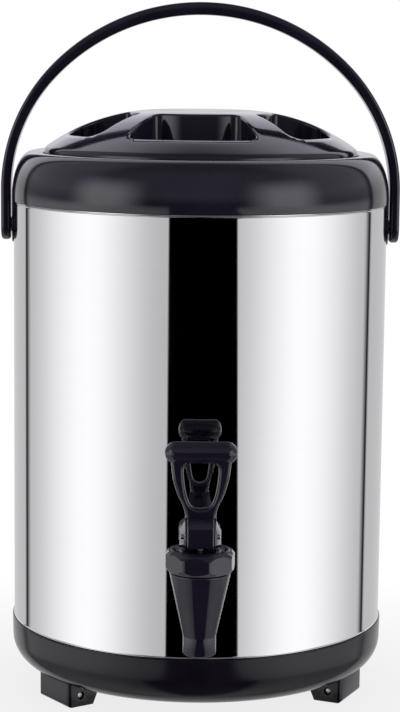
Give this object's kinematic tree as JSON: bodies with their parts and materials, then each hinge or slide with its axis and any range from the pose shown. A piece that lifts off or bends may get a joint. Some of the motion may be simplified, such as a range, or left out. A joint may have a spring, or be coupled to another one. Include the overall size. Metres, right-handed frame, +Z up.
{
  "type": "hot water dispenser",
  "caption": "Insulated round steel barrel on feet with a domed twist-off lid, a swinging carrying bail and a self-closing lever tap for serving hot drinks.",
  "frame": {"origin": "centre of the standing box on the table, under the barrel and a little in front of its axis", "axes": "+Z up along the barrel, the tap to the front at -Y, +X to the right seen from the tap"},
  "size_m": [0.2688, 0.3138, 0.464],
  "materials": {
    "polished_steel": "mirror polished",
    "pot_steel": "satin",
    "foam": "rigid foam",
    "black_gloss": "gloss",
    "inner_plastic": "satin",
    "silicone": "matt",
    "small_steel": "plated"
  },
  "bodies": {
    "barrel": {"outer_shell": "polished_steel", "shell_floor": "pot_steel", "inner_pot": "pot_steel", "body_foam": "foam", "tap_sleeve": "inner_plastic", "top_collar": "black_gloss", "pivot_plates": "small_steel", "pivot_studs": "small_steel", "base_cup": "black_gloss", "base_screws": "small_steel", "floor_nuts": "small_steel", "foot_left": "black_gloss", "foot_right": "black_gloss", "foot_rear": "black_gloss", "foot_screws": "small_steel", "tap_body": "black_gloss", "tap_washer_outer": "silicone", "tap_washer_inner": "silicone", "tap_nut": "inner_plastic", "bonnet_gasket": "silicone", "tap_bonnet": "black_gloss", "valve_spring": "small_steel"},
    "bail": {"bail_handle": "black_gloss"},
    "gasket_ring": {"lid_gasket": "silicone"},
    "lid": {"lid_cover": "black_gloss", "lid_liner": "inner_plastic", "lid_foam": "foam"},
    "stem": {"valve_stem": "small_steel", "valve_seal": "silicone", "lever_pin": "small_steel"},
    "lever": {"tap_lever": "black_gloss"}
  },
  "joints": [
    {"name": "bail_swing", "type": "hinge", "parent": "barrel", "child": "bail", "pos_m": [0, 0.0297, 0.3144], "axis": [1, 0, 0], "range_deg": [-112, 112]},
    {"name": "lid_lift", "type": "slide", "parent": "barrel", "child": "gasket_ring", "axis": [0, 0, 1], "range_m": [0, 0.03]},
    {"name": "lid_twist", "type": "hinge", "parent": "gasket_ring", "child": "lid", "pos_m": [0, 0.0297, 0.355], "axis": [0, 0, 1], "range_deg": [-45, 0]},
    {"name": "valve_lift", "type": "slide", "parent": "barrel", "child": "stem", "axis": [0, 0, 1], "range_m": [0, 0.004], "deforming": ["valve_spring"]},
    {"name": "lever_tilt", "type": "hinge", "parent": "stem", "child": "lever", "pos_m": [0, -0.1353, 0.1366], "axis": [1, 0, 0], "range_deg": [0, 50], "stiffness_Nm_per_rad": 0.042, "springref_deg": -50.02}
  ],
  "couplings": [
    {"joint": "valve_lift", "follows": "lever_tilt", "m_per_rad": 0.0045836}
  ]
}
